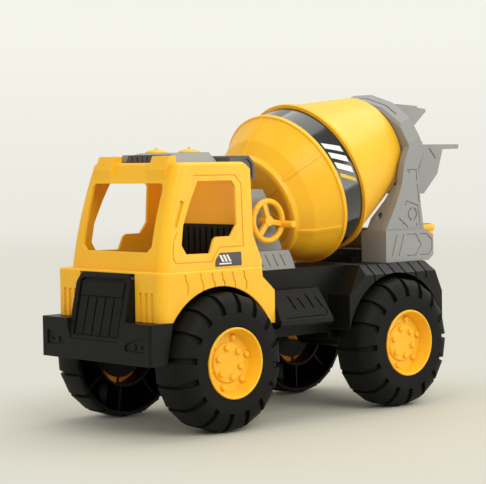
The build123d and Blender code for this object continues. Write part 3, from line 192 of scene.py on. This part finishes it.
MATERIALS = {
    "yellow_plastic": plastic("yellow_plastic", YELLOW, 0.36, gloss=0.34, edge_wear_and_highlight=0.06, glow=0.30),
    "black_plastic": plastic("black_plastic", BLACK, 0.40, gloss=0.15, edge_wear_and_highlight=0.03),
    "tyre_black": plastic("tyre_black", RUBBER, 0.52, gloss=0.12, edge_wear_and_highlight=0.02, rounding=0.4),
    "grey_plastic": plastic("grey_plastic", GREY, 0.45, gloss=0.40, edge_wear_and_highlight=0.12),
    "dark_grey_plastic": plastic("dark_grey_plastic", DARK_GREY, 0.40),
    "label_film": plastic("label_film", LABEL, 0.30),
    "band_film": plastic("band_film", BAND, 0.16, coat=0.7, edge_wear_and_highlight=0.02),
    "white_plastic": plastic("white_plastic", WHITE, 0.40),
    "steel": plastic("steel", STEEL, 0.30),
}
MATERIALS["steel"].node_tree.nodes["Principled BSDF"].inputs["Metallic"].default_value = 1.0


def dress_cad_nodes():
    slots = {entry["node"]: entry["material_slot"] for entry in frame["record"]["subparts"]}
    for name, obj in frame["nodes"].items():
        obj.data.materials.clear()
        obj.data.materials.append(MATERIALS[slots[name]])


dress_cad_nodes()


# ---------------------------------------------------------------- mesh helpers
def mesh_data(mesh, name):
    bmesh.ops.recalc_face_normals(mesh, faces=mesh.faces)
    data = bpy.data.meshes.new(name)
    mesh.to_mesh(data)
    mesh.free()
    return data


def finish_surface(data, crease, material):
    """Smooth shading broken at creases sharper than an angle in degrees, and one material."""
    for face in data.polygons:
        face.use_smooth = True
    data.set_sharp_from_angle(angle=math.radians(crease))
    data.materials.clear()
    data.materials.append(material)


def linked_object(name, data):
    made = bpy.data.objects.new(name, data)
    bpy.context.scene.collection.objects.link(made)
    return made


def place_piece(name, data, body, matrix):
    """A new piece that rides on a body."""
    piece = linked_object(name, data)
    piece.matrix_world = matrix
    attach(piece, body)
    return piece


def skin_loops(mesh, loops):
    """Join closed loops of vertices into a closed ring-shaped surface."""
    for first, second in zip(loops, loops[1:] + loops[:1]):
        count = len(first)
        for index in range(count):
            after = (index + 1) % count
            mesh.faces.new((first[index], first[after], second[after], second[index]))


# ---------------------------------------------------------------- tyres
LUGS = 16
LUG_STEPS = 7                       # faces across the top of one lug
LUG_FLAT = 1.0                      # how far the middle of a lug lies inside the tyre's circle, mm
LUG_CREASE = 24.0                   # degrees
GROOVE_FLOOR = 0.80                 # width of a groove's floor as a share of its mouth
NARROWEST_GROOVE = 0.5              # keeps the points of an uncut row apart, mm
WEBS = 8
WEB_THICKNESS = 1.8
# low and high radius, and low and high distance from the truck's middle
WEB_SPAN = (31.5, 56.2, 62.0, 80.0)
ARM_SPAN = (23.5, 31.4, 66.2, 67.8)
PLATE_SPAN = (7.5, 24.5, 66.0, 68.0)
PLATE_STEPS = 48
# outer surface: radius, distance from the truck's middle, groove width, groove depth
TYRE_OUTSIDE = [
    (30.5, 90.0, 0.0, 0.0),
    (31.6, 91.0, 0.0, 0.0),
    (38.0, 91.2, 0.0, 0.0),
    (42.9, 91.0, 5.8, 0.0),
    (43.3, 91.0, 5.8, 3.4),
    (49.6, 89.8, 5.6, 3.4),
    (53.6, 87.4, 4.8, 3.2),
    (57.2, 84.4, 4.6, 3.2),
    (58.9, 81.5, 4.1, 3.0),
    (59.7, 78.0, 3.8, 2.9),
    (60.0, 73.0, 3.6, 2.7),
    (60.0, 69.0, 3.6, 2.7),
    (59.9, 63.0, 3.6, 2.7),
    (59.5, 58.0, 3.7, 2.6),
    (58.8, 54.6, 3.8, 2.2),
    (58.2, 54.0, 3.8, 1.6),
]
# inner surface and the ring that grips the hub: radius, distance from the truck's middle
TYRE_INSIDE = [
    (54.6, 54.0), (55.0, 60.0), (55.3, 68.0), (55.3, 75.0), (54.2, 79.6), (51.0, 83.4),
    (46.0, 86.2), (39.0, 87.2), (32.5, 87.2), (32.5, 58.0), (30.5, 58.0),
]


def lug_columns(radius, width):
    """Angle, share of the groove's depth and share of the lug's flat, around one row of points."""
    pitch = 2 * math.pi / LUGS
    half = max(width, NARROWEST_GROOVE) / 2 / radius
    columns = []
    for lug in range(LUGS):
        centre = lug * pitch
        columns.append((centre - half, 0.0, 0.0))
        columns.append((centre - half * GROOVE_FLOOR, 1.0, 0.0))
        columns.append((centre + half * GROOVE_FLOOR, 1.0, 0.0))
        for step in range(LUG_STEPS):
            across = step / LUG_STEPS
            columns.append((centre + half + (pitch - 2 * half) * across, 0.0, 4 * across * (1 - across)))
    return columns


def surface_normals(profile):
    """Outward direction of the profile at each of its points."""
    normals = []
    last = len(profile) - 1
    for index in range(len(profile)):
        before = profile[max(index - 1, 0)]
        after = profile[min(index + 1, last)]
        along = Vector((after[0] - before[0], after[1] - before[1])).normalized()
        normals.append((-along.y, along.x))
    return normals


def around(mesh, radius, angle, out):
    """Vertex at an angle around the tyre's axis."""
    return mesh.verts.new((radius * math.cos(angle) * MM, radius * math.sin(angle) * MM, out * MM))


def tyre_skin():
    """Tread, sidewalls and the ring that grips the hub."""
    mesh = bmesh.new()
    loops = []
    for (radius, out, width, depth), normal in zip(TYRE_OUTSIDE, surface_normals(TYRE_OUTSIDE)):
        loop = []
        for angle, share, flat in lug_columns(radius, width):
            cut_radius = radius - abs(normal[0]) * (depth * share + LUG_FLAT * flat)
            cut_out = out - max(normal[1], 0.0) * depth * share
            loop.append(around(mesh, cut_radius, angle, cut_out))
        loops.append(loop)
    width = TYRE_OUTSIDE[-1][2]
    for radius, out in TYRE_INSIDE:
        loops.append([around(mesh, radius, angle, out) for angle, _, _ in lug_columns(radius, width)])
    skin_loops(mesh, loops)
    return mesh


def add_web(mesh, span, turn):
    """Radial slab; span gives its radii and its distances from the truck's middle."""
    half = WEB_THICKNESS / 2
    low = Vector((span[0], -half, span[2])) * MM
    high = Vector((span[1], half, span[3])) * MM
    for vert in bmesh.ops.create_cube(mesh, size=1.0)["verts"]:
        corner = Vector([low[axis] if vert.co[axis] < 0 else high[axis] for axis in range(3)])
        vert.co = turn @ corner


def tyre_webs():
    """Radial webs that stiffen the tyre from inside, and short arms to its inner plate."""
    mesh = bmesh.new()
    for index in range(WEBS):
        turn = Matrix.Rotation(2 * math.pi * index / WEBS, 3, "Z")
        add_web(mesh, WEB_SPAN, turn)
        add_web(mesh, ARM_SPAN, turn)
    return mesh


def tyre_plate():
    """Round plate inside the ring, with a hole for the axle."""
    mesh = bmesh.new()
    hole, edge, low, high = PLATE_SPAN
    angles = [2 * math.pi * step / PLATE_STEPS for step in range(PLATE_STEPS)]
    loops = []
    for radius, out in ((edge, low), (edge, high), (hole, high), (hole, low)):
        loops.append([around(mesh, radius, angle, out) for angle in angles])
    skin_loops(mesh, loops)
    return mesh


def joined(name, *meshes):
    """Union of closed bmeshes as mesh data."""
    parts = []
    for index, mesh in enumerate(meshes):
        part_name = f"{name}_{index}"
        parts.append(linked_object(part_name, mesh_data(mesh, part_name)))
    for tool in parts[1:]:
        union = parts[0].modifiers.new("union", "BOOLEAN")
        union.operation = "UNION"
        union.solver = "EXACT"
        union.object = tool
    graph = bpy.context.evaluated_depsgraph_get()
    result = bpy.data.meshes.new_from_object(parts[0].evaluated_get(graph))
    for obj in parts:
        bpy.data.objects.remove(obj)
    return result


# how far the lugs of each pair of wheels have rolled at rest, in degrees
TYRE_ROLL = {"front": 6.6, "rear": -1.9}


def make_tyres():
    """One tyre mesh, placed four times: its axis points outward on each side."""
    data = joined("tyre_mesh", tyre_skin(), tyre_webs(), tyre_plate())
    finish_surface(data, LUG_CREASE, MATERIALS["tyre_black"])
    for end in ("front", "rear"):
        for side, turn in (("left", -90.0), ("right", 90.0)):
            cad_node = f"tyre_{end}_{side}"
            low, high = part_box(cad_node)
            centre = (low + high) / 2
            place = Matrix.Translation((centre.x, 0.0, centre.z))
            roll = Matrix.Rotation(math.radians(-TYRE_ROLL[end]), 4, "Y")
            aim = Matrix.Rotation(math.radians(turn), 4, "X")
            matrix = place @ roll @ aim
            piece = place_piece(f"lugged_{cad_node}", data, f"{end}_wheels", matrix)
            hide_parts(cad_node)


make_tyres()


# ---------------------------------------------------------------- printed marks
PRINT_LIFT = 0.2                    # how far the print stands off the film, mm
PRINT_SINK = 0.1                    # how far its sides reach into the film
PRINT_CREASE = 30.0                 # degrees
BAND_BAR_STEPS = 6
BAND_BAR_HALF_LENGTH = 8.0
BAND_BAR_SLANT = 9.0                # degrees that a bar leans around the drum
# first angle from the drum's top toward the left, and width, in degrees
BAND_BARS = {
    "white_plastic": [(53.0, 5.0), (61.5, 5.0), (70.0, 5.0)],
    "yellow_plastic": [(79.0, 3.0)],
}
DOOR_BARS = [-1.0, 3.0, 7.0]        # forward edge of each bar, from the middle of the label, mm
DOOR_BAR_WIDTH = 2.4
DOOR_BAR_LEAN = 3.6
DOOR_BAR_SPAN = (-2.0, 4.0)         # bottom and top, from the middle of the label
DOOR_LINE_SPAN = (-4.2, -3.0)
WALL_LEAN = 4.7 / 91.0              # the cab's side leans inward this much per unit of height


def add_strip(mesh, place, steps):
    """Thin closed strip; place(side, share, lift) gives its points, each value from 0 to 1."""
    loops = []
    for step in range(steps + 1):
        corners = ((0, 0), (1, 0), (1, 1), (0, 1))
        loops.append([mesh.verts.new(place(side, step / steps, lift)) for side, lift in corners])
    for first, second in zip(loops, loops[1:]):
        for index in range(4):
            after = (index + 1) % 4
            mesh.faces.new((first[index], first[after], second[after], second[index]))
    mesh.faces.new(loops[0])
    mesh.faces.new(loops[-1])


def print_piece(name, mesh, slot, body):
    data = mesh_data(mesh, name)
    finish_surface(data, PRINT_CREASE, MATERIALS[slot])
    place_piece(name, data, body, Matrix.Identity(4))


def make_band_print():
    """Slanted bars on the drum's band, on two opposite sides."""
    joints = frame["record"]["behaviour"]["joints"]
    axis = next(joint["axis"] for joint in joints if joint["name"] == "drum_turn")
    along = Vector(axis).normalized()
    left = Vector((0.0, 1.0, 0.0))
    up = left.cross(along)
    low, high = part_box("drum_band")
    centre = (low + high) / 2
    film = (high.y - low.y) / 2
    for slot, bars in BAND_BARS.items():
        mesh = bmesh.new()
        for first, width in bars:
            for turn in (0.0, 180.0):
                def place(side, share, lift):
                    angle = math.radians(turn + first + width * side + BAND_BAR_SLANT * share)
                    radius = film + (PRINT_LIFT if lift else -PRINT_SINK) * MM
                    station = (2 * share - 1) * BAND_BAR_HALF_LENGTH * MM
                    outward = up * math.cos(angle) + left * math.sin(angle)
                    return centre + along * station + outward * radius
                add_strip(mesh, place, BAND_BAR_STEPS)
        print_piece(f"band_print_{slot}", mesh, slot, "drum")


def make_door_print():
    """Three slanted bars over a line, on each door label."""
    low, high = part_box("door_labels")
    middle = (low + high) / 2
    bars = []
    for forward in DOOR_BARS:
        foot = middle.x + forward * MM
        bars.append((foot, foot - DOOR_BAR_WIDTH * MM, DOOR_BAR_LEAN * MM, DOOR_BAR_SPAN))
    line_front = middle.x + (DOOR_BARS[-1] + DOOR_BAR_LEAN) * MM
    line_rear = middle.x + (DOOR_BARS[0] - DOOR_BAR_WIDTH) * MM
    bars.append((line_front, line_rear, 0.0, DOOR_LINE_SPAN))
    mesh = bmesh.new()
    for hand in (1.0, -1.0):
        for front, rear, lean, (bottom, top) in bars:
            def place(side, share, lift):
                x = (rear if side else front) + lean * share
                z = middle.z + (bottom + (top - bottom) * share) * MM
                y = high.y - WALL_LEAN * (z - low.z) + (PRINT_LIFT if lift else -PRINT_SINK) * MM
                return Vector((x, hand * y, z))
            add_strip(mesh, place, 1)
    print_piece("door_print", mesh, "white_plastic", "truck")


make_band_print()
make_door_print()


# ---------------------------------------------------------------- stage, light, camera
# sizes and places are in metres from here on
SWEEP_HALF_WIDTH = 9.0
SWEEP_FRONT = -10.5                 # stations along the view, from the middle of the truck
SWEEP_BACK = 4.5
SWEEP_CURVE = 2.0                   # radius of the curve up to the wall
SWEEP_CURVE_STEPS = 12
SWEEP_TOP = 6.0
SWEEP_DIRECTION = (-0.670, -0.741, 0.0)
PAPER = (0.545, 0.528, 0.445, 1.0)
PAPER_NOISE = (1.5, 2.0, 0.5)
PAPER_LIGHTEST = 1.02
PAPER_ROUGHNESS = 0.8
PAPER_GLOSS = 0.1
SHADOW_CENTRE = (0.0, 0.08, 0.0)    # the paper takes shadows around this point
SHADOW_NEAR = 0.16                  # and fades into an even glow between these distances
SHADOW_FAR = 0.44
HORIZON_HEIGHTS = (0.0, 0.06)       # where the floor's glow turns into the horizon's
WALL_HEIGHTS = (0.05, 0.60)         # and the horizon's into the top's
GLOW_FLOOR = (0.755, 0.742, 0.655, 1.0)
GLOW_HORIZON = (0.825, 0.812, 0.748, 1.0)
GLOW_TOP = (0.905, 0.905, 0.825, 1.0)


def make_stage():
    """A seamless pale sweep: flat floor curving up behind the object."""
    curve_start = SWEEP_BACK - SWEEP_CURVE
    profile = [(SWEEP_FRONT, 0.0), (curve_start, 0.0)]
    for step in range(1, SWEEP_CURVE_STEPS + 1):
        angle = math.pi / 2 * step / SWEEP_CURVE_STEPS
        rise = SWEEP_CURVE - SWEEP_CURVE * math.cos(angle)
        profile.append((curve_start + SWEEP_CURVE * math.sin(angle), rise))
    profile.append((SWEEP_BACK, SWEEP_TOP))
    forward = Vector(SWEEP_DIRECTION).normalized()
    across = Vector((-forward.y, forward.x, 0.0)) * SWEEP_HALF_WIDTH
    mesh = bmesh.new()
    rows = []
    for along, up in profile:
        middle = forward * along + Vector((0.0, 0.0, up))
        rows.append((mesh.verts.new(middle - across), mesh.verts.new(middle + across)))
    for lower, upper in zip(rows, rows[1:]):
        mesh.faces.new((lower[0], lower[1], upper[1], upper[0]))
    data = bpy.data.meshes.new("sweep")
    mesh.to_mesh(data)
    mesh.free()
    for face in data.polygons:
        face.use_smooth = True
    data.materials.append(sweep_material())
    linked_object("sweep", data)


def sweep_material():
    """Paper that takes shadows near the object and glows evenly farther out."""
    material, tree, shader = new_material("sweep_paper")
    position = node(tree, "ShaderNodeNewGeometry").outputs["Position"]
    offset = node(tree, "ShaderNodeVectorMath", {0: position, 1: SHADOW_CENTRE}, operation="SUBTRACT")
    across = node(
        tree, "ShaderNodeVectorMath",
        {0: offset.outputs["Vector"], 1: (1.0, 1.0, 0.0)}, operation="MULTIPLY",
    )
    far = node(tree, "ShaderNodeVectorMath", {0: across.outputs["Vector"]}, operation="LENGTH")
    height = node(tree, "ShaderNodeSeparateXYZ", {"Vector": position}).outputs["Z"]
    tone = noise(tree, *PAPER_NOISE, vector=position)
    paper = mix_colour(tree, tone, PAPER, scaled(PAPER, PAPER_LIGHTEST))
    tree.links.new(paper, shader.inputs["Base Color"])
    shader.inputs["Roughness"].default_value = PAPER_ROUGHNESS
    shader.inputs["Specular IOR Level"].default_value = PAPER_GLOSS
    above_floor = remap(tree, height, *HORIZON_HEIGHTS, 0.0, 1.0)
    up_wall = remap(tree, height, *WALL_HEIGHTS, 0.0, 1.0)
    low = mix_colour(tree, above_floor, GLOW_FLOOR, GLOW_HORIZON)
    shade = mix_colour(tree, up_wall, low, GLOW_TOP)
    glow = node(tree, "ShaderNodeEmission", {"Color": shade, "Strength": 1.0})
    blend = node(
        tree, "ShaderNodeMapRange",
        {"Value": far.outputs["Value"], "From Min": SHADOW_NEAR, "From Max": SHADOW_FAR},
        interpolation_type="SMOOTHSTEP",
    )
    mixed = node(
        tree, "ShaderNodeMixShader",
        {0: blend.outputs["Result"], 1: shader.outputs["BSDF"], 2: glow.outputs["Emission"]},
    )
    surface = tree.nodes["Material Output"].inputs["Surface"]
    tree.links.new(mixed.outputs["Shader"], surface)
    return material


WHITE_LIGHT = (1.0, 1.0, 1.0)
WARM_LIGHT = (1.0, 0.98, 0.95)
ORANGE_LIGHT = (1.0, 0.78, 0.56)
ROOM_COLOUR = (1.0, 0.99, 0.96, 1.0)
ROOM_STRENGTH = 0.42
LIGHT_TARGET = (0.0, 0.0, 0.12)
# name, place, size in metres, power in watts, colour
STUDIO_LIGHTS = [
    ("key", (0.3, 1.6, 1.4), (1.6, 1.2), 24.0, WARM_LIGHT),
    ("fill", (2.0, 0.4, 1.2), (1.4, 1.0), 13.0, WARM_LIGHT),
    ("side", (-1.3, 1.6, 0.5), (1.2, 0.9), 9.0, WARM_LIGHT),
    ("top", (-0.5, -0.3, 2.0), (1.6, 1.6), 13.0, WHITE_LIGHT),
    ("rear_top", (-1.5, 0.3, 1.6), (1.4, 1.0), 12.0, WARM_LIGHT),
]
# lamp inside the cab: its place from the shell's front top edge, and the way it points
CAB_GLOW_OFFSET = (-0.055, 0.0, -0.035)
CAB_GLOW_AIM = (-0.08, 0.0, -0.015)
CAB_GLOW_SIZE = (0.08, 0.04)
CAB_GLOW_POWER = 0.014


def area_light(name, place, size, power, colour, target=LIGHT_TARGET):
    data = bpy.data.lights.new(name, "AREA")
    data.shape = "RECTANGLE"
    data.size, data.size_y = size
    data.energy = power
    data.color = colour
    light = linked_object(name, data)
    light.location = place
    direction = Vector(target) - Vector(place)
    light.rotation_euler = direction.to_track_quat("-Z", "Y").to_euler()
    return light


def make_studio_lights():
    lights = {entry[0]: area_light(*entry) for entry in STUDIO_LIGHTS}
    lights["fill"].visible_glossy = False   # the black bumper and grille stay dark


def make_cab_glow():
    """Stands in for the daylight that the thin cab walls let through."""
    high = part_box("cab_shell")[1]
    inside = Vector((high.x, 0.0, high.z)) + Vector(CAB_GLOW_OFFSET)
    target = inside + Vector(CAB_GLOW_AIM)
    lamp = area_light("cab_glow", inside, CAB_GLOW_SIZE, CAB_GLOW_POWER, ORANGE_LIGHT, target)
    lamp.visible_camera = False


def make_room_light():
    world = bpy.data.worlds.new("studio")
    bpy.context.scene.world = world
    world.use_nodes = True
    background = world.node_tree.nodes["Background"]
    background.inputs["Color"].default_value = ROOM_COLOUR
    background.inputs["Strength"].default_value = ROOM_STRENGTH


CAMERA_PLACE = (1.0917, 1.1902, 0.2312)
CAMERA_AZIMUTH = 137.88             # degrees
CAMERA_ELEVATION = 2.67
CAMERA_ROLL = -0.86
CAMERA_LENS = 130.1                 # focal length and sensor width, mm
CAMERA_SENSOR = 36.0
CAMERA_REACH = 100.0                # metres


def make_camera():
    """Looks slightly down at the truck's left front quarter, like the photograph."""
    azimuth = math.radians(CAMERA_AZIMUTH)
    elevation = math.radians(CAMERA_ELEVATION)
    roll = math.radians(CAMERA_ROLL)
    back = Vector((
        math.sin(azimuth) * math.cos(elevation),
        -math.cos(azimuth) * math.cos(elevation),
        math.sin(elevation),
    ))
    right = Vector((0, 0, 1)).cross(back).normalized()
    up = back.cross(right)
    rolled_right = right * math.cos(roll) + up * math.sin(roll)
    rolled_up = up * math.cos(roll) - right * math.sin(roll)
    data = bpy.data.cameras.new("camera")
    data.sensor_width = CAMERA_SENSOR
    data.lens = CAMERA_LENS
    data.clip_end = CAMERA_REACH
    camera = linked_object("camera", data)
    axes = Matrix((rolled_right, rolled_up, back)).transposed().to_4x4()
    camera.matrix_world = Matrix.Translation(CAMERA_PLACE) @ axes
    bpy.context.scene.camera = camera


make_stage()
make_studio_lights()
make_cab_glow()
make_room_light()
make_camera()
bpy.context.scene.view_settings.view_transform = "Standard"
